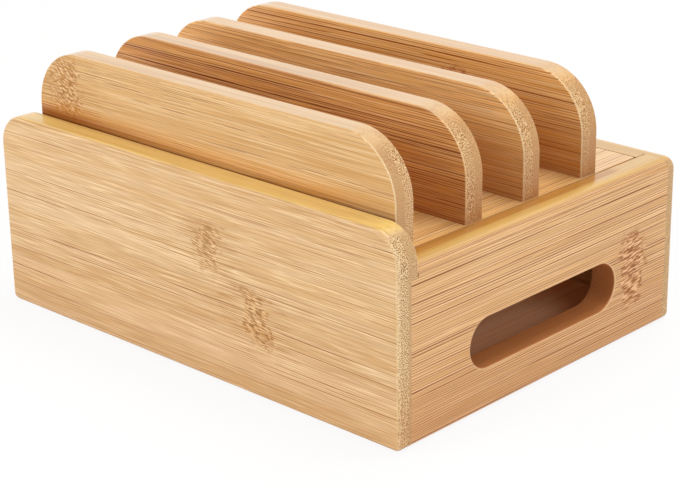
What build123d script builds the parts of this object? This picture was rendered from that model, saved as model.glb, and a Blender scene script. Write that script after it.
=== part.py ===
from build123d import *
import os

# Charging station organizer of laminated bamboo: an open-topped box that hides a charger and its leads,
# and a lift-out lid with four upright dividers that stand phones and tablets on edge.
# Millimetres. +Z up, +X to the right of someone who faces the front, +Y to the rear.
# The origin is the middle of the footprint, on the surface that the box stands on.

# Box, outside
width = 230.0
depth = 174.0
body_height = 72.5
front_height = 86.4

# Board thicknesses
front_thickness = 11.0
side_thickness = 12.3
rear_thickness = 12.0
bottom_thickness = 5.0
lid_thickness = 8.0
divider_thickness = 10.0

# Rounded corners and eased edges
front_top_round = 14.0
side_top_round = 5.0
bottom_round = 3.0
front_ease = 2.0
front_back_ease = 1.0
rear_ease = 3.0
inner_ease = 0.8

# Corner joints: the sides sit in rabbets cut in the front and rear panels
front_rabbet_depth = 4.0
rear_rabbet_depth = 6.0
rabbet_stop_drop = 5.1

# Bottom board, held in a groove that runs round the four panels
groove_depth = 4.0
groove_play = 0.3
bottom_rise = 4.0

# Cord slot through each side panel
slot_length = 92.0
slot_height = 21.0
slot_centre_height = 28.5
slot_ease = 1.0

# Ledges that carry the lid
ledge_width = 8.0
ledge_height = 10.0
ledge_ease = 1.0

# Lid, which drops in between the panels
lid_side_gap = 0.5
lid_front_gap = 2.0
lid_rear_gap = 0.5
lid_ease = 0.6
lead_slot_length = 56.0
lead_slot_width = 13.0
lead_slot_ease = 0.8

# Dividers, and how the bays behind them share the lid's clear depth, front bay first
divider_top_height = 115.2
divider_round = 25.2
divider_ease = 0.7
bay_shares = [29.6, 25.0, 27.2, 26.7]

# Countersunk screws, driven up through the lid into each divider
screw_length = 24.0
screw_radius = 1.75
screw_tip_length = 3.0
screw_head_radius = 3.5
screw_head_height = 2.2
screw_spacing = 120.0
drive_width = 0.9
drive_depth = 1.2
drive_length = 4.0
hole_play = 0.1

# Extra length of every cutter past the face that it leaves
overrun = 1.0

# Faces that several pieces share
half_width = width / 2
side_inner = half_width - side_thickness
front_outer = -depth / 2
front_inner = front_outer + front_thickness
rear_outer = depth / 2
rear_inner = rear_outer - rear_thickness
front_joint = front_inner - front_rabbet_depth
rear_joint = rear_inner + rear_rabbet_depth
rabbet_stop = body_height - rabbet_stop_drop
bottom_top = bottom_rise + bottom_thickness
lid_half_width = side_inner - lid_side_gap
lid_front = front_inner + lid_front_gap
lid_rear = rear_inner - lid_rear_gap
lid_underside = body_height - lid_thickness

# Widths of the bays, front faces of the dividers, and the middles of the bays behind them
clear_depth = lid_rear - lid_front - len(bay_shares) * divider_thickness
bays = [clear_depth * share / sum(bay_shares) for share in bay_shares]
divider_fronts = [lid_front]
for bay in bays[:-1]:
    divider_fronts.append(divider_fronts[-1] + divider_thickness + bay)
bay_middles = [front + divider_thickness + bay / 2 for front, bay in zip(divider_fronts, bays)]


def block(x_span, y_span, z_span):
    """A box between two values on each axis."""
    spans = (x_span, y_span, z_span)
    middles = [(low + high) / 2 for low, high in spans]
    return Pos(*middles) * Box(*[high - low for low, high in spans])


def upright_board(board_width, low, high, top_round, low_round, front, thickness):
    """A board that stands across X, with rounded corners, and its front face at the given Y."""
    outline = Pos(0, (low + high) / 2) * Rectangle(board_width, high - low)
    corners = outline.vertices().group_by(Axis.Y)
    outline = fillet(corners[-1], top_round)
    if low_round:
        outline = fillet(outline.vertices().group_by(Axis.Y)[0], low_round)
    return extrude(Plane.XZ.offset(-front) * outline, amount=thickness, dir=(0, 1, 0))


def ease_end(board, which, radius):
    """Round all the edges of the board's front face, 0, or rear face, -1."""
    return fillet(board.faces().sort_by(Axis.Y)[which].edges(), radius)


def bottom_groove():
    """The space that the bottom board's edges fill, as one cutter for the four panels."""
    reach = side_inner + groove_depth
    rear = rear_inner + groove_depth
    return block((-reach, reach), (front_inner - groove_depth, rear), (bottom_rise, bottom_top))


def stadium(length, breadth, thickness):
    """A slot cutter along X with round ends, centred, cut through Z."""
    return extrude(SlotOverall(length, breadth), amount=thickness / 2, both=True)


def front_panel():
    """Tall front board with rounded top corners, and a rabbet at each end that stops below the sides' tops."""
    board = upright_board(width, 0, front_height, front_top_round, bottom_round, front_outer, front_thickness)
    board = ease_end(board, 0, front_ease)
    board = ease_end(board, -1, front_back_ease)
    for side in (-1, 1):
        span = sorted((side * side_inner, side * (half_width + overrun)))
        board -= block(span, (front_joint, front_inner + overrun), (-overrun, rabbet_stop))
    return board - bottom_groove()


def rear_panel():
    """Rear board, with rabbets over its whole height for the sides."""
    board = upright_board(width, 0, body_height, side_top_round, bottom_round, rear_inner, rear_thickness)
    board = ease_end(board, -1, rear_ease)
    for side in (-1, 1):
        span = sorted((side * side_inner, side * (half_width + overrun)))
        board -= block(span, (rear_inner - overrun, rear_joint), (-overrun, body_height + overrun))
    return board - bottom_groove()


def side_panel():
    """Right side board, with its rounded outer top edge and its cord slot."""
    board = block((side_inner, half_width), (front_joint, rear_joint), (0, body_height))
    long_edges = board.edges().filter_by(Axis.Y)
    outer = long_edges.group_by(Axis.X)[-1].sort_by(Axis.Z)
    board = fillet(outer[-1], side_top_round)
    outer_low = board.edges().filter_by(Axis.Y).group_by(Axis.Z)[0].sort_by(Axis.X)
    board = fillet(outer_low[-1], bottom_round)
    inner_top = board.edges().filter_by(Axis.Y).group_by(Axis.X)[0].sort_by(Axis.Z)
    board = fillet(inner_top[-1], inner_ease)
    notch = block((side_inner - overrun, half_width + overrun), (front_joint - overrun, front_inner),
                  (rabbet_stop, body_height + overrun))
    board -= notch
    slot = stadium(slot_length, slot_height, side_thickness + 2 * overrun)
    middle = side_inner + side_thickness / 2
    board -= Pos(middle, 0, slot_centre_height) * Rot(0, 90, 0) * Rot(0, 0, 90) * slot
    rims = [edge for face in (board.faces().sort_by(Axis.X)[0], board.faces().sort_by(Axis.X)[-1])
            for edge in face.inner_wires().edges()]
    board = fillet(rims, slot_ease)
    return board - bottom_groove()


def bottom_panel():
    """Thin floor board, a little smaller than the groove all round."""
    reach = groove_depth - groove_play
    half_span = side_inner + reach
    return block((-half_span, half_span), (front_inner - reach, rear_inner + reach), (bottom_rise, bottom_top))


def lid_ledge():
    """Strip glued inside the right side panel, level with the lid's underside."""
    strip = block((side_inner - ledge_width, side_inner), (front_inner, rear_inner),
                  (lid_underside - ledge_height, lid_underside))
    inner_low = strip.edges().filter_by(Axis.Y).group_by(Axis.X)[0].sort_by(Axis.Z)[0]
    return chamfer(inner_low, ledge_ease)


def screw_profile(play):
    """Half section of a countersunk screw that points up from Z = 0, wider by the play."""
    shank = screw_radius + play
    head = screw_head_radius + play
    shank_top = screw_length - screw_tip_length
    points = [(0, 0), (head, 0), (shank, screw_head_height), (shank, shank_top), (0, screw_length + play)]
    return Plane.XZ * make_face(Polyline(*points, close=True))


def screw_places():
    """Where the screws' heads are, two under each divider."""
    for front in divider_fronts:
        for side in (-1, 1):
            yield Pos(side * screw_spacing / 2, front + divider_thickness / 2, lid_underside)


def screw_holes():
    """Cutters for the screws in the lid and the dividers."""
    hole = revolve(screw_profile(hole_play), Axis.Z)
    return [place * hole for place in screw_places()]


def divider_screws():
    """The screws, with a cross recess in each head."""
    screw = revolve(screw_profile(0), Axis.Z)
    for turn in (0, 90):
        bar = Box(drive_length, drive_width, 2 * drive_depth)
        screw -= Rot(0, 0, turn) * bar
    return Compound(children=[place * screw for place in screw_places()])


def lid_board():
    """Flat lid with a lead slot in the middle of each bay."""
    board = block((-lid_half_width, lid_half_width), (lid_front, lid_rear), (lid_underside, body_height))
    board = fillet(board.edges().filter_by(Axis.Z), lid_ease)
    cutter = stadium(lead_slot_length, lead_slot_width, lid_thickness + 2 * overrun)
    for middle in bay_middles:
        board -= Pos(0, middle, lid_underside + lid_thickness / 2) * cutter
    rims = [edge for face in (board.faces().sort_by(Axis.Z)[0], board.faces().sort_by(Axis.Z)[-1])
            for edge in face.inner_wires().edges()]
    board = fillet(rims, lead_slot_ease)
    for hole in screw_holes():
        board -= hole
    return board


def divider(front):
    """Upright board with large rounded top corners, standing on the lid."""
    top_round = min(divider_round, divider_top_height - body_height - divider_ease)
    board = upright_board(2 * lid_half_width, body_height, divider_top_height, top_round, 0,
                          front, divider_thickness)
    for which in (0, -1):
        face = board.faces().sort_by(Axis.Y)[which]
        foot = face.edges().sort_by(Axis.Z)[0]
        board = fillet([edge for edge in face.edges() if edge != foot], divider_ease)
    for hole in screw_holes():
        board -= hole
    return board


pieces = {
    "front_panel": front_panel(),
    "rear_panel": rear_panel(),
    "right_side_panel": side_panel(),
    "left_side_panel": mirror(side_panel(), about=Plane.YZ),
    "bottom_panel": bottom_panel(),
    "right_lid_ledge": lid_ledge(),
    "left_lid_ledge": mirror(lid_ledge(), about=Plane.YZ),
    "lid_board": lid_board(),
    "divider_screws": divider_screws(),
}
for name, front in zip(("front_divider", "second_divider", "third_divider", "rear_divider"), divider_fronts):
    pieces[name] = divider(front)

os.makedirs("parts", exist_ok=True)
for name, piece in pieces.items():
    export_step(piece, os.path.join("parts", name + ".step"))
    print(name, round(piece.volume / 1000, 2), "cm3")
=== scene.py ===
import math

import bpy
from mathutils import Matrix, Vector

# Charging station organizer of lacquered laminated bamboo: the finishes, the studio and the camera.
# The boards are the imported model's own nodes, so this script dresses them and adds no shape.

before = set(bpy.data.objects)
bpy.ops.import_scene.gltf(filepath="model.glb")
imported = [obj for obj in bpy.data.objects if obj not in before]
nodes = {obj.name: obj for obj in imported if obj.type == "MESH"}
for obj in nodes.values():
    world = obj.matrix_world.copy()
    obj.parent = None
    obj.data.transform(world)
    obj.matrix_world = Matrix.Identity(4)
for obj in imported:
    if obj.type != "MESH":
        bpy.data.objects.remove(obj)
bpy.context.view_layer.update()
scene = bpy.context.scene
print("frame loaded:", len(nodes), "nodes")


def hexToLinear(colour):
    # sRGB hex to linear light, with full alpha
    parts = [int(colour[i:i + 2], 16) / 255 for i in (0, 2, 4)]
    return [p / 12.92 if p <= 0.04045 else ((p + 0.055) / 1.055) ** 2.4 for p in parts] + [1]


def addNode(tree, kind, settings=None, inputs=None, output=0):
    # A node with its settings; an input is a fixed value, or the output that is linked to it
    node = tree.nodes.new(kind)
    for key, value in (settings or {}).items():
        setattr(node, key, value)
    for key, value in (inputs or {}).items():
        if isinstance(value, bpy.types.NodeSocket):
            tree.links.new(value, node.inputs[key])
        else:
            node.inputs[key].default_value = value
    return node.outputs[output] if len(node.outputs) else node


def newMaterial(name):
    material = bpy.data.materials.new(name)
    material.use_nodes = True
    material.node_tree.nodes.clear()
    return material, material.node_tree


def dress(nodeName, material):
    mesh = nodes[nodeName].data
    mesh.materials.clear()
    mesh.materials.append(material)


# Laminated bamboo under a clear satin lacquer, which gives soft highlights along the eased edges, there helped
# by a painted highlight. Thin darker fibre lines run along the grain, 1 to 4 mm apart and broken every few
# centimetres. Strips about
# 23 mm wide are glued edge to edge, each with its own tone. Cut across, the fibres are fine dark dots. A
# node of the cane crosses one strip as a short column of small brown flecks.
# Lengths are in millimetres. A fade is the two values of a pattern between which a layer comes in, then
# how much it covers at most, where that isn't all.
bamboo = {
    # Ground, broad bands, fibre lines, the widest lines, and the pale of hairs and of painted edge highlights
    "pale": "DCB985", "warm": "D1A86D", "line": "AC6A0C", "deep": "A05800", "rim": "F4DCB0",
    "coat": 1.0, "roughness": (0.3, 0.4),
    # Strips, and how far the grain shifts and the tone darkens from one to the next
    "stripWidth": 23.3, "stripStart": 45.3, "stripShift": (900, 0, 300), "stripTone": 0.22,
    "seed": 0, "seedStep": 7.3, "seedStart": 0.5,
    # Slow bends of the grain, broad bands and fine hairs
    "wander": 1.8, "wanderLength": 170, "wanderPitch": 26,
    "bandLength": 190, "bandPitch": 5, "bandFade": (0.32, 0.68),
    "hairLength": 55, "hairPitch": 0.5, "hairDark": (0.5, 0.68, 0.25), "hairPale": (0.48, 0.32, 0.45),
    # Fibre lines, in lanes: pitch, breadth, length between breaks, how much of it is bare, strength
    "lanes": [(1.0, 0.23, 30, 0.46, 0.85), (1.9, 0.29, 55, 0.46, 1.15), (4.3, 0.33, 90, 0.50, 1.25)],
    "laneStart": 500.3, "laneSlope": -0.8, "laneMiddle": (0.34, 0.66), "laneStep": 5.37,
    "lineAmount": 0.75, "faintest": 0.35, "lineCore": 0.4, "breakSoftness": 0.05, "lineHollow": 0.25,
    "halo": 0.25, "haloReach": (2.6, 1.1), "calmLength": 110, "calmPitch": 8, "calm": (0.25, 0.6),
    # Cane nodes: a ragged column of flecks, and a wider fan of crowded lines
    "knots": [], "knotTint": "C98A40", "knotAmount": 0.35, "knotFade": (1.1, 0.15),
    "reach": {"column": (1, 1), "fan": (2.6, 1.15)}, "ragged": (16, 8, 0), "raggedPitch": 4.5,
    "fanHairs": (0.5, 0.6), "fanAmount": 0.5,
    "fleck": "96580E", "fleckLight": 0.65, "fleckDark": (0.51, 0.55), "fleckPale": (0.45, 0.41),
    "fleckLength": 3.0, "fleckPitch": 0.75, "fleckThrough": 0.3, "fleckHollow": 2.5, "slant": 22,
    # End grain, with two layers of which one has plainer dots, and a painted highlight on the eased edge beside
    # it
    "endPale": "D0A876", "endLight": "EAD0A4", "endDot": "865820", "endFade": (0.35, 0.75),
    "dotLength": 9, "dotPitch": 0.4, "dotPale": (0.48, 0.38), "dotDark": (0.52, 0.62),
    "layer": 0, "layerDots": (1, 0.4), "layerShade": (1, 0.4, 0.22),
    "easedFade": (0.2, 0.5), "easedHighlight": 0.6,
    # Sawn long edges, and what only some boards have
    "edge": None, "edgeRise": (62, 66), "edgeFacing": (0.75, 0.96),
    "edgeBands": (0.4, 0.8, 0.35), "edgeHairs": (0.5, 0.62, 0.2),
    "paintedLightAndTones": [], "paintedShadeStrip": None, "slot": None,
}


def bambooMaterial(name, **board):
    look = {**bamboo, **board}
    material, tree = newMaterial(name)

    def share(*parts):
        # How much of a layer shows: the product of its parts, each an output, a number, or an output
        # with its fade
        amount = None
        for part in parts:
            if isinstance(part, tuple):
                value, start, full, *most = part
                part = addNode(tree, "ShaderNodeMapRange", {"interpolation_type": "SMOOTHSTEP"}, {
                    "Value": value, "From Min": start, "From Max": full, "To Max": most[0] if most else 1.0})
            amount = part if amount is None else addNode(
                tree, "ShaderNodeMath", {"operation": "MULTIPLY"}, {0: amount, 1: part})
        return amount

    def overlay(under, tone, *parts):
        # A tone laid over the colour under it, where its parts let it show
        under, tone = [hexToLinear(c) if isinstance(c, str) else c for c in (under, tone)]
        return addNode(tree, "ShaderNodeMix", {"data_type": "RGBA"}, {0: share(*parts), 6: under, 7: tone}, 2)

    place = addNode(tree, "ShaderNodeVectorMath", {"operation": "SCALE"},
                    {0: addNode(tree, "ShaderNodeTexCoord", output="Object"), "Scale": 1000})
    along, across = "xyz".index(look["grain"]), "xyz".index(look["strips"])
    axes = (along, across, 3 - along - across)
    alongGrain, acrossGrain, throughBoard = [
        addNode(tree, "ShaderNodeSeparateXYZ", None, {0: place}, axis) for axis in axes]

    # Which strip of the board this is, and three random numbers for it
    stripPlace = addNode(tree, "ShaderNodeMath", {"operation": "MULTIPLY_ADD"}, {
        0: acrossGrain, 1: 1 / look["stripWidth"], 2: -look["stripStart"] / look["stripWidth"]})
    stripNumber = addNode(tree, "ShaderNodeMath", {"operation": "FLOOR"}, {0: stripPlace})
    stripSeed = addNode(tree, "ShaderNodeMath", {"operation": "ADD"}, {
        0: stripNumber, 1: look["seedStep"] * look["seed"] + look["seedStart"]})
    stripRandom = addNode(tree, "ShaderNodeTexWhiteNoise", {"noise_dimensions": "1D"}, {"W": stripSeed}, "Color")
    shift = addNode(tree, "ShaderNodeVectorMath", {"operation": "MULTIPLY"},
                    {0: stripRandom, 1: look["stripShift"]})
    boardPlace = addNode(tree, "ShaderNodeCombineXYZ", None, {0: alongGrain, 1: acrossGrain, 2: throughBoard})
    shifted = addNode(tree, "ShaderNodeVectorMath", {"operation": "ADD"}, {0: boardPlace, 1: shift})

    # The grain wanders slowly to both sides
    wanderPlace = addNode(tree, "ShaderNodeVectorMath", {"operation": "MULTIPLY"},
                          {0: shifted, 1: (1 / look["wanderLength"],) + (1 / look["wanderPitch"],) * 2})
    wanderNoise = addNode(tree, "ShaderNodeTexNoise", None,
                          {"Vector": wanderPlace, "Scale": 1, "Detail": 1}, "Color")
    wander = addNode(tree, "ShaderNodeVectorMath", {"operation": "MULTIPLY"},
                     {0: wanderNoise, 1: (0, look["wander"], look["wander"])})
    grainPlace = addNode(tree, "ShaderNodeVectorMath", {"operation": "ADD"}, {0: shifted, 1: wander})

    def pattern(length, pitch, detail):
        # Noise drawn out along the grain, 0 to 1 about 0.5
        stretched = addNode(tree, "ShaderNodeVectorMath", {"operation": "MULTIPLY"},
                            {0: grainPlace, 1: (1 / length, 1 / pitch, 1 / pitch)})
        return addNode(tree, "ShaderNodeTexNoise", None, {"Vector": stretched, "Scale": 1, "Detail": detail})

    # Cane nodes: how near each point is to one, for its tight column and for its wide fan
    near = {}
    if look["knots"]:
        # Their outlines are ragged, not oval
        raggedNoise = addNode(tree, "ShaderNodeTexNoise", None, {
            "Vector": boardPlace, "Scale": 1 / look["raggedPitch"], "Detail": 1}, "Color")
        ragged = addNode(tree, "ShaderNodeVectorMath", {"operation": "MULTIPLY_ADD"}, {
            0: raggedNoise, 1: look["ragged"], 2: [-span / 2 for span in look["ragged"]]})
        raggedPlace = addNode(tree, "ShaderNodeVectorMath", {"operation": "ADD"}, {0: boardPlace, 1: ragged})
    for knot in look["knots"]:
        offset = addNode(tree, "ShaderNodeVectorMath", {"operation": "SUBTRACT"},
                         {0: raggedPlace, 1: knot["at"]})
        rise = addNode(tree, "ShaderNodeSeparateXYZ", None, {0: offset}, 1)
        lean = addNode(tree, "ShaderNodeCombineXYZ", None, {
            0: addNode(tree, "ShaderNodeMath", {"operation": "MULTIPLY"}, {0: rise, 1: knot["lean"]})})
        offset = addNode(tree, "ShaderNodeVectorMath", {"operation": "ADD"}, {0: offset, 1: lean})
        for part, (wide, tall) in look["reach"].items():
            size = (knot["size"][0] * wide, knot["size"][1] * tall, knot["size"][2])
            scaled = addNode(tree, "ShaderNodeVectorMath", {"operation": "DIVIDE"}, {0: offset, 1: size})
            # Cubed, so that the outline is squarer than an oval
            cubed = addNode(tree, "ShaderNodeVectorMath", {"operation": "MULTIPLY"}, {0: scaled, 1: scaled})
            cubed = addNode(tree, "ShaderNodeVectorMath", {"operation": "MULTIPLY"}, {0: cubed, 1: scaled})
            away = addNode(tree, "ShaderNodeVectorMath", {"operation": "LENGTH"}, {0: cubed}, "Value")
            here = share((away, *look["knotFade"], knot["strength"]))
            near[part] = here if part not in near else addNode(
                tree, "ShaderNodeMath", {"operation": "MAXIMUM"}, {0: near[part], 1: here})

    # Broad bands, then the strip's own tone, then hair lines
    bands = pattern(look["bandLength"], look["bandPitch"], 2)
    colour = overlay(look["pale"], look["warm"], (bands, *look["bandFade"]))
    stripTone = addNode(tree, "ShaderNodeSeparateColor", None, {0: stripRandom}, 1)
    colour = overlay(colour, look["line"], stripTone, look["stripTone"])
    hairs = pattern(look["hairLength"], look["hairPitch"], 1)
    colour = overlay(colour, look["line"], (hairs, *look["hairDark"]))
    colour = overlay(colour, look["rim"], (hairs, *look["hairPale"]))

    # Fibre lines. The lanes lie side by side and slope through the board, so they show on its edges too.
    # Each has one thin line, with its own offset, strength and breaks, between two pale haloes.
    fromMiddle = addNode(tree, "ShaderNodeMath", {"operation": "ABSOLUTE"}, {0: throughBoard})
    diagonal = addNode(tree, "ShaderNodeMath", {"operation": "MULTIPLY_ADD"}, {
        0: fromMiddle, 1: look["laneSlope"],
        2: addNode(tree, "ShaderNodeSeparateXYZ", None, {0: grainPlace}, 1)})
    calm = share((pattern(look["calmLength"], look["calmPitch"], 1), *look["calm"], look["lineAmount"]))
    lines = []
    for pitch, breadth, length, bare, strength in look["lanes"]:
        row = addNode(tree, "ShaderNodeMath", {"operation": "MULTIPLY_ADD"},
                      {0: diagonal, 1: 1 / pitch, 2: look["laneStart"]})
        lane = addNode(tree, "ShaderNodeMath", {"operation": "FLOOR"}, {0: row})
        laneRandom = addNode(tree, "ShaderNodeTexWhiteNoise", {"noise_dimensions": "1D"}, {"W": lane}, "Color")
        chance = [addNode(tree, "ShaderNodeSeparateColor", None, {0: laneRandom}, i) for i in (0, 1)]
        middle = addNode(tree, "ShaderNodeMapRange", None, {
            "Value": chance[0], "To Min": look["laneMiddle"][0], "To Max": look["laneMiddle"][1]})
        offset = addNode(tree, "ShaderNodeMath", {"operation": "SUBTRACT"}, {
            0: addNode(tree, "ShaderNodeMath", {"operation": "FRACT"}, {0: row}), 1: middle})
        offset = addNode(tree, "ShaderNodeMath", {"operation": "ABSOLUTE"}, {0: offset})
        breakPlace = addNode(tree, "ShaderNodeCombineXYZ", None, {
            0: addNode(tree, "ShaderNodeMath", {"operation": "DIVIDE"}, {
                0: addNode(tree, "ShaderNodeSeparateXYZ", None, {0: grainPlace}), 1: length}),
            1: addNode(tree, "ShaderNodeMath", {"operation": "MULTIPLY"}, {0: lane, 1: look["laneStep"]})})
        breaks = addNode(tree, "ShaderNodeTexNoise", None, {"Vector": breakPlace, "Scale": 1, "Detail": 1})
        amount = addNode(tree, "ShaderNodeMapRange", None, {
            "Value": chance[1], "To Min": look["faintest"] * strength, "To Max": strength})
        amount = share(amount, (breaks, bare - look["breakSoftness"], bare + look["breakSoftness"]), calm)
        outer, inner = [times * breadth / pitch for times in look["haloReach"]]
        colour = overlay(colour, look["rim"], amount, (offset, outer, inner, look["halo"]))
        lines.append(share(amount, (offset, breadth / pitch, look["lineCore"] * breadth / pitch)))
    if near:
        lines[0] = addNode(tree, "ShaderNodeMath", {"operation": "MULTIPLY_ADD"}, {
            0: near["fan"], 1: share((hairs, *look["fanHairs"], look["fanAmount"])), 2: lines[0]})
    for tone, amount in zip(("line", "line", "deep"), lines):
        colour = overlay(colour, look[tone], amount)
    height = addNode(tree, "ShaderNodeMath", {"operation": "MULTIPLY"}, {0: lines[1], 1: -look["lineHollow"]})

    # Cane nodes: a browner patch with short slanting flecks
    if near:
        slanted = addNode(tree, "ShaderNodeVectorRotate", {"rotation_type": "Z_AXIS"},
                          {"Vector": boardPlace, "Angle": math.radians(look["slant"])})
        fleckPlace = addNode(tree, "ShaderNodeVectorMath", {"operation": "MULTIPLY"}, {
            0: slanted, 1: (1 / look["fleckLength"], 1 / look["fleckPitch"], look["fleckThrough"])})
        flecks = addNode(tree, "ShaderNodeTexNoise", None,
                         {"Vector": fleckPlace, "Scale": 1, "Detail": 1, "Distortion": 0.5})
        darkFlecks = share(near["column"], (flecks, *look["fleckDark"]))
        colour = overlay(colour, look["knotTint"], near["column"], look["knotAmount"])
        # Pale streaks among the flecks: partly the node's own paler colour, partly a painted highlight on their
        # relief
        colour = overlay(colour, look["rim"], near["column"], (flecks, *look["fleckPale"], look["fleckLight"]))
        colour = overlay(colour, look["fleck"], darkFlecks)
        height = addNode(tree, "ShaderNodeMath", {"operation": "MULTIPLY_ADD"},
                         {0: darkFlecks, 1: -look["fleckHollow"], 2: height})

    # End grain: the fibres are cut across, so each is a dot on a paler ground
    normal = addNode(tree, "ShaderNodeVectorMath", {"operation": "ABSOLUTE"},
                     {0: addNode(tree, "ShaderNodeTexCoord", output="Normal")})
    facingEnd, facingEdge, facingFace = [
        addNode(tree, "ShaderNodeSeparateXYZ", None, {0: normal}, axis) for axis in axes]
    onEnd = share((facingEnd, *look["endFade"]))
    offEnd = addNode(tree, "ShaderNodeMath", {"operation": "SUBTRACT"}, {0: 1, 1: onEnd})
    dotPlace = addNode(tree, "ShaderNodeVectorMath", {"operation": "MULTIPLY"},
                       {0: shifted, 1: (1 / look["dotLength"],) + (1 / look["dotPitch"],) * 2})
    dots = addNode(tree, "ShaderNodeTexNoise", None, {"Vector": dotPlace, "Scale": 1, "Detail": 0})
    # The board is two layers thick, one with clear dots and one plainer and a little darker
    layer = addNode(tree, "ShaderNodeMath", {"operation": "GREATER_THAN"}, {0: throughBoard, 1: look["layer"]})
    dotted = addNode(tree, "ShaderNodeMapRange", None, {
        "Value": layer, "To Min": look["layerDots"][0], "To Max": look["layerDots"][1]})
    endColour = overlay(look["endPale"], look["endLight"], (dots, *look["dotPale"]), dotted)
    endColour = overlay(endColour, look["endDot"], (dots, *look["dotDark"]), dotted)
    endColour = overlay(endColour, look["endDot"], (dotted, *look["layerShade"]))
    colour = overlay(colour, endColour, onEnd)
    # The eased edge between face and end is painted paler, a painted highlight for the light it catches
    eased = addNode(tree, "ShaderNodeMath", {"operation": "MINIMUM"}, {0: facingEnd, 1: facingFace})
    colour = overlay(colour, look["rim"], (eased, *look["easedFade"], look["easedHighlight"]))

    if look["edge"]:
        # The sawn long edge takes the lacquer deeper, so it is more yellow than the face
        edgeColour = overlay(look["edge"], look["line"], (bands, *look["edgeBands"]))
        edgeColour = overlay(edgeColour, look["line"], (hairs, *look["edgeHairs"]))
        onEdge = share(offEnd, (acrossGrain, *look["edgeRise"]), (facingEdge, *look["edgeFacing"]))
        colour = overlay(colour, edgeColour, onEdge)
    for spot in look["paintedLightAndTones"]:
        # A tone laid from one height of the board, fading over another, and perhaps towards one end. Most are
        # painted light: painted shade towards a board's foot and low in the bays, thin dark lines of painted
        # shade in the gap at the front divider's foot, and an orange painted bounce light there; one only
        # darkens a strip
        parts = [(acrossGrain, *spot["fade"]), (acrossGrain, spot["from"] - 1, spot["from"])]
        if "along" in spot:
            parts.append((alongGrain, *spot["along"]))
        if not spot["onEnd"]:
            parts.append(offEnd)
        colour = overlay(colour, spot["tone"], *parts)
    if look["paintedShadeStrip"]:
        # Painted reflection and shade: a brown line along the side's top beside the lid, as far back as the last
        # divider, standing in for the dividers' reflection and shade there
        paintedShadeStrip = look["paintedShadeStrip"]
        colour = overlay(colour, paintedShadeStrip["tone"],
                       (fromMiddle, paintedShadeStrip["at"] + paintedShadeStrip["half"], paintedShadeStrip["at"] - paintedShadeStrip["half"], paintedShadeStrip["amount"]),
                       (alongGrain, *paintedShadeStrip["along"]), onEdge)
    if look["slot"]:
        # The walls of the slot are browner, its rounded end is darkened with painted shade, and its eased rim is
        # painted paler as a painted highlight
        slot = look["slot"]
        around = share((acrossGrain, *slot["low"]), (acrossGrain, *slot["high"]))
        colour = overlay(colour, look["rim"], (facingFace, *slot["rimHighlightFade"]), around)
        wall = share((facingFace, *slot["wallFade"]), around)
        colour = overlay(colour, slot["wall"], wall)
        colour = overlay(colour, slot["wallEndShade"], (facingEnd, *slot["wallEndShadeFade"]), wall)

    bump = addNode(tree, "ShaderNodeBump", None, {"Strength": 0.25, "Distance": 0.0001, "Height": height})
    gloss = addNode(tree, "ShaderNodeMapRange", None, {
        "Value": hairs, "From Min": 0.3, "From Max": 0.7,
        "To Min": look["roughness"][0], "To Max": look["roughness"][1]})
    coat = look["coat"] if look["edge"] is None else addNode(
        tree, "ShaderNodeMapRange", None, {"Value": onEdge, "To Min": look["coat"], "To Max": 1.0})
    surface = addNode(tree, "ShaderNodeBsdfPrincipled", None, {
        "Base Color": colour, "Roughness": gloss, "Normal": bump, "IOR": 1.5, "Specular IOR Level": 0.05,
        "Coat Weight": coat, "Coat Roughness": 0.2, "Coat IOR": 1.5})
    addNode(tree, "ShaderNodeOutputMaterial", None, {"Surface": surface})
    return material


# Boards of the box. The front and rear run left to right, the sides front to back.
frontBoard = {
    "grain": "x", "strips": "z", "seed": 1, "layer": -81.5, "coat": 0.45,
    "pale": "E4C397", "warm": "DAB27C", "rim": "FFE4B7", "line": "9A5E00", "deep": "8E5000", "edge": "F2CE76",
    "lineAmount": 1.0, "faintest": 0.15, "hairLength": 22, "easedHighlight": 0.25,
    "lanes": [(0.95, 0.22, 18, 0.44, 0.6), (1.9, 0.26, 40, 0.46, 0.8), (4.3, 0.28, 90, 0.49, 1.1)],
    "fleck": "7C4800", "fleckLength": 3.6, "fleckPitch": 0.5, "fleckLight": 0.5, "slant": 12,
    "knotTint": "D0903A", "knotAmount": 0.5,
    "knots": [{"at": (14.5, 57, -80), "size": (8, 12.5, 9), "lean": -0.2, "strength": 0.72},
              {"at": (41, 33, -80), "size": (8, 14, 9), "lean": 0.3, "strength": 1.0}],
    # The first is painted shade, darker towards the board's foot; the second darkens the top strip a little
    "paintedLightAndTones": [{"from": 0, "fade": (42, 4, 0.27), "tone": "B06A1A", "onEnd": True},
               {"from": 68.6, "fade": (101, 100, 0.12), "tone": "C08A4A", "onEnd": False}],
}
rearBoard = {
    "grain": "x", "strips": "z", "seed": 2, "layer": 81, "coat": 0.45,
    "pale": "E2BA88", "warm": "D8AA70", "rim": "FFDDB0", "line": "9E5C00", "edge": "E0B468",
    "lineAmount": 0.9, "easedHighlight": 0.25,
}
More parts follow.
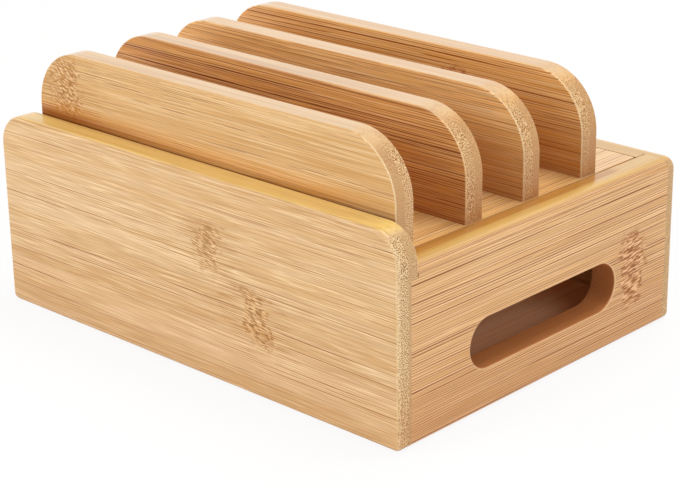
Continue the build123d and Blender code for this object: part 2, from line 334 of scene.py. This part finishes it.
sideBoard = {
    "grain": "y", "strips": "z", "seed": 3, "layer": 109, "coat": 0.3,
    "pale": "DAAC73", "warm": "D29F64", "rim": "FFD6A8", "line": "8A4E00", "deep": "7C4000", "edge": "E0B468",
    "lineAmount": 1.0, "faintest": 0.2, "halo": 0.5, "calm": (0.0, 0.34), "easedHighlight": 0.2,
    "lanes": [(1.1, 0.21, 40, 0.38, 1.2), (1.9, 0.22, 60, 0.44, 0.9), (3.9, 0.24, 120, 0.46, 1.4)],
    "laneStart": 540.3, "fanAmount": 0.15,
    "fleck": "8A4E20", "fleckLength": 4.0, "fleckPitch": 0.62, "fleckLight": 0.7, "slant": -8,
    "knotTint": "C4844E", "knotAmount": 0.7,
    "knots": [{"at": (58, 31, 115), "size": (8, 18, 9), "lean": 0.0, "strength": 0.85}],
    # Painted shade, darker towards the side's foot
    "paintedLightAndTones": [{"from": 0, "fade": (40, 0, 0.22), "tone": "A85A18", "onEnd": True}],
    # Painted reflection and shade of the dividers, along the side's top beside the lid
    "paintedShadeStrip": {"tone": "B46E22", "at": 108, "half": 0.7, "amount": 0.6, "along": (60, 52)},
    # Slot: browner walls, painted shade at its rounded end, a painted highlight on its eased rim
    "slot": {"low": (12, 15), "high": (53, 45), "rimHighlightFade": (0.97, 0.85, 0.35),
             "wall": "C07030", "wallFade": (0.75, 0.3, 0.75),
             "wallEndShade": "7A3A18", "wallEndShadeFade": (0.3, 0.9, 0.6)},
}
dress("front_panel", bambooMaterial("lacquered_bamboo_front", **frontBoard))
dress("rear_panel", bambooMaterial("lacquered_bamboo_rear", **rearBoard))
sideMaterial = bambooMaterial("lacquered_bamboo_sides", **sideBoard)
dress("left_side_panel", sideMaterial)
dress("right_side_panel", sideMaterial)
print("box boards dressed")

# Dividers, each cut from another board
dividerBoard = {
    "grain": "x", "strips": "z", "stripWidth": 21.5, "stripStart": 93, "coat": 0.3,
    "pale": "ECB46C", "warm": "DEA252", "line": "AC6000", "deep": "964A00", "edge": "DEB680",
    "lineAmount": 1.0, "calm": (0.1, 0.45),
    "dotPitch": 0.35, "endPale": "CEA06C", "endLight": "E4C292", "endDot": "90602E",
    # Painted shade: each divider darker low down, where the bays between them get less light
    "paintedLightAndTones": [{"from": 72, "fade": (104, 72, 0.42), "tone": "8E4408", "onEnd": True}],
}
dividers = {
    "front_divider": {
        "seed": 4, "layer": -69, "layerDots": (0.4, 1), "coat": 0.55,
        "pale": "DFB47A", "warm": "D3A566", "line": "A0640C", "deep": "925200",
        "lineAmount": 0.95, "calm": (0.35, 0.62), "wander": 1.0,
        "lanes": [(1.0, 0.18, 14, 0.48, 0.85), (2.0, 0.22, 20, 0.51, 1.0), (4.3, 0.24, 30, 0.54, 1.2)],
        "fleck": "A06A28", "fleckLength": 2.4, "fleckPitch": 0.56, "fleckLight": 0.5, "knotAmount": 0.5,
        "knots": [{"at": (-84, 100, -69), "size": (10, 15, 9), "lean": 0.0, "strength": 0.9}],
        # Painted light on the front divider: an orange painted bounce light from the front panel's top low on
        # its face, painted shade low towards its left end, and two thin dark lines of painted shade in the gap
        # just above the front panel
        "paintedLightAndTones": [
            {"from": 72, "fade": (95, 87, 0.42), "tone": "E49428", "onEnd": False, "along": (100, 60)},
            {"from": 72, "fade": (92, 87, 0.8), "tone": "9A5010", "onEnd": False, "along": (10, -95)},
            {"from": 87.4, "fade": (88.0, 87.4, 0.3), "tone": "8A3A00", "onEnd": False},
            {"from": 85.0, "fade": (85.9, 85.2, 0.6), "tone": "7A2E00", "onEnd": False}],
    },
    "second_divider": {
        "seed": 5, "layer": -29,
        "pale": "E4A85E", "warm": "D4934C", "line": "883600", "deep": "742800", "rim": "F8D4A0"},
    "third_divider": {
        "seed": 6, "layer": 6, "pale": "F4C07C", "warm": "E8B066", "lineAmount": 0.75, "laneStart": 520.3},
    "rear_divider": {
        "seed": 7, "layer": 43, "laneStart": 530.3, "fleck": "9A4A14", "fleckLight": 0.35, "knotTint": "B8622C",
        "knots": [{"at": (32, 96, 38), "size": (10, 12, 9), "lean": 0.0, "strength": 0.7}]},
}
for nodeName, board in dividers.items():
    dress(nodeName, bambooMaterial("lacquered_bamboo_" + nodeName, **{**dividerBoard, **board}))
print("dividers dressed")

# Lid, and the floor board and ledges inside
lidBoard = {
    "grain": "y", "strips": "x", "seed": 8, "stripWidth": 22, "stripStart": 0,
    "pale": "FFD08A", "warm": "F8C072",
}
insideBoard = {
    "grain": "y", "strips": "x", "seed": 9, "stripWidth": 22, "stripStart": 4, "coat": 0.4,
    "pale": "FFCEA4", "warm": "FFC292", "rim": "FFDCB8", "lineAmount": 0.15,
}
dress("lid_board", bambooMaterial("lacquered_bamboo_lid", **lidBoard))
insideMaterial = bambooMaterial("lacquered_bamboo_inside", **insideBoard)
for nodeName in ("bottom_panel", "left_lid_ledge", "right_lid_ledge"):
    dress(nodeName, insideMaterial)
print("lid and inside dressed")

# Zinc-plated steel screws: a cool grey with a faint yellow bloom, brushed by the tumbling they are plated in
screw = {"zinc": "B9BCBE", "bloom": "B8B19C", "patch": 3.0, "roughness": (0.28, 0.42)}


def screwMaterial():
    material, tree = newMaterial("zinc_plated_steel")
    place = addNode(tree, "ShaderNodeTexCoord", output="Object")
    clouds = addNode(tree, "ShaderNodeTexNoise", None,
                     {"Vector": place, "Scale": 1000 / screw["patch"], "Detail": 3})
    colour = addNode(tree, "ShaderNodeMix", {"data_type": "RGBA"}, {
        0: clouds, 6: hexToLinear(screw["zinc"]), 7: hexToLinear(screw["bloom"])}, 2)
    gloss = addNode(tree, "ShaderNodeMapRange", None, {
        "Value": clouds, "To Min": screw["roughness"][0], "To Max": screw["roughness"][1]})
    surface = addNode(tree, "ShaderNodeBsdfPrincipled", None,
                      {"Base Color": colour, "Metallic": 1, "Roughness": gloss})
    addNode(tree, "ShaderNodeOutputMaterial", None, {"Surface": surface})
    return material


dress("divider_screws", screwMaterial())
print("screws dressed")

# Camera, where the photograph was taken from. The image is 679 by 487.
camera = {
    "place": (0.55069, -0.57295, 0.33234), "azimuth": 43.71, "elevation": 20.85, "roll": -0.9,
    "lens": 104.39, "sensor": 36, "clip": (0.01, 50),
}
cameraData = bpy.data.cameras.new("camera")
cameraData.lens = camera["lens"]
cameraData.sensor_width = camera["sensor"]
cameraData.clip_start, cameraData.clip_end = camera["clip"]
cameraObject = bpy.data.objects.new("camera", cameraData)
turn = (Matrix.Rotation(math.radians(camera["azimuth"]), 4, "Z")
        @ Matrix.Rotation(math.radians(90 - camera["elevation"]), 4, "X")
        @ Matrix.Rotation(math.radians(camera["roll"]), 4, "Z"))
cameraObject.matrix_world = Matrix.Translation(camera["place"]) @ turn
scene.collection.objects.link(cameraObject)
scene.camera = cameraObject

# Studio: a white tent with soft lamps. Metres, watts.
studio = {
    "tent": 0.46, "floorSize": 8, "floorColour": "F4F3F2", "floorWhite": 0.88, "aim": (0, 0, 0.05),
    "lamps": {
        "key": {"place": (-1.0, -1.9, 0.75), "size": 1.6, "power": 26},
        "top": {"place": (0.1, 0.5, 2.0), "size": 1.2, "power": 22},
        "right": {"place": (1.9, -0.2, 0.8), "size": 1.4, "power": 15},
    },
}


def seenDirectly(tree):
    # 1 for rays that show the background: from the camera, in a reflection or through glass
    seen = [addNode(tree, "ShaderNodeLightPath", output=o)
            for o in ("Is Camera Ray", "Is Glossy Ray", "Is Transmission Ray")]
    pair = addNode(tree, "ShaderNodeMath", {"operation": "MAXIMUM"}, {0: seen[0], 1: seen[1]})
    return addNode(tree, "ShaderNodeMath", {"operation": "MAXIMUM"}, {0: pair, 1: seen[2]})


world = bpy.data.worlds.new("tent")
scene.world = world
world.use_nodes = True
world.node_tree.nodes.clear()
glowStrength = addNode(world.node_tree, "ShaderNodeMapRange", None,
                       {"Value": seenDirectly(world.node_tree), "To Min": studio["tent"], "To Max": 1})
background = addNode(world.node_tree, "ShaderNodeBackground", None,
                     {"Color": (1, 1, 1, 1), "Strength": glowStrength})
addNode(world.node_tree, "ShaderNodeOutputWorld", None, {"Surface": background})

# Matte white paper sweep: even white, with only a soft shadow under the box
half = studio["floorSize"] / 2
floorMesh = bpy.data.meshes.new("floor")
corners = [(-half, -half, 0), (half, -half, 0), (half, half, 0), (-half, half, 0)]
floorMesh.from_pydata(corners, [], [(0, 1, 2, 3)])
floor = bpy.data.objects.new("floor", floorMesh)
scene.collection.objects.link(floor)
floorMaterial, tree = newMaterial("matte_white_sweep")
whiteShare = addNode(tree, "ShaderNodeMath", {"operation": "MULTIPLY"},
                     {0: seenDirectly(tree), 1: studio["floorWhite"]})
matte = addNode(tree, "ShaderNodeBsdfDiffuse", None, {"Color": hexToLinear(studio["floorColour"])})
glow = addNode(tree, "ShaderNodeEmission", None, {"Color": (1, 1, 1, 1), "Strength": 1})
addNode(tree, "ShaderNodeOutputMaterial", None,
        {"Surface": addNode(tree, "ShaderNodeMixShader", None, {0: whiteShare, 1: matte, 2: glow})})
floorMesh.materials.append(floorMaterial)

for lampName, lamp in studio["lamps"].items():
    lampData = bpy.data.lights.new(lampName, "AREA")
    lampData.size = lamp["size"]
    lampData.energy = lamp["power"]
    lampObject = bpy.data.objects.new(lampName, lampData)
    lampObject.location = lamp["place"]
    aim = Vector(studio["aim"]) - Vector(lamp["place"])
    lampObject.rotation_mode = "QUATERNION"
    lampObject.rotation_quaternion = aim.to_track_quat("-Z", "Y")
    scene.collection.objects.link(lampObject)
scene.view_settings.view_transform = "Standard"
print("studio ready")
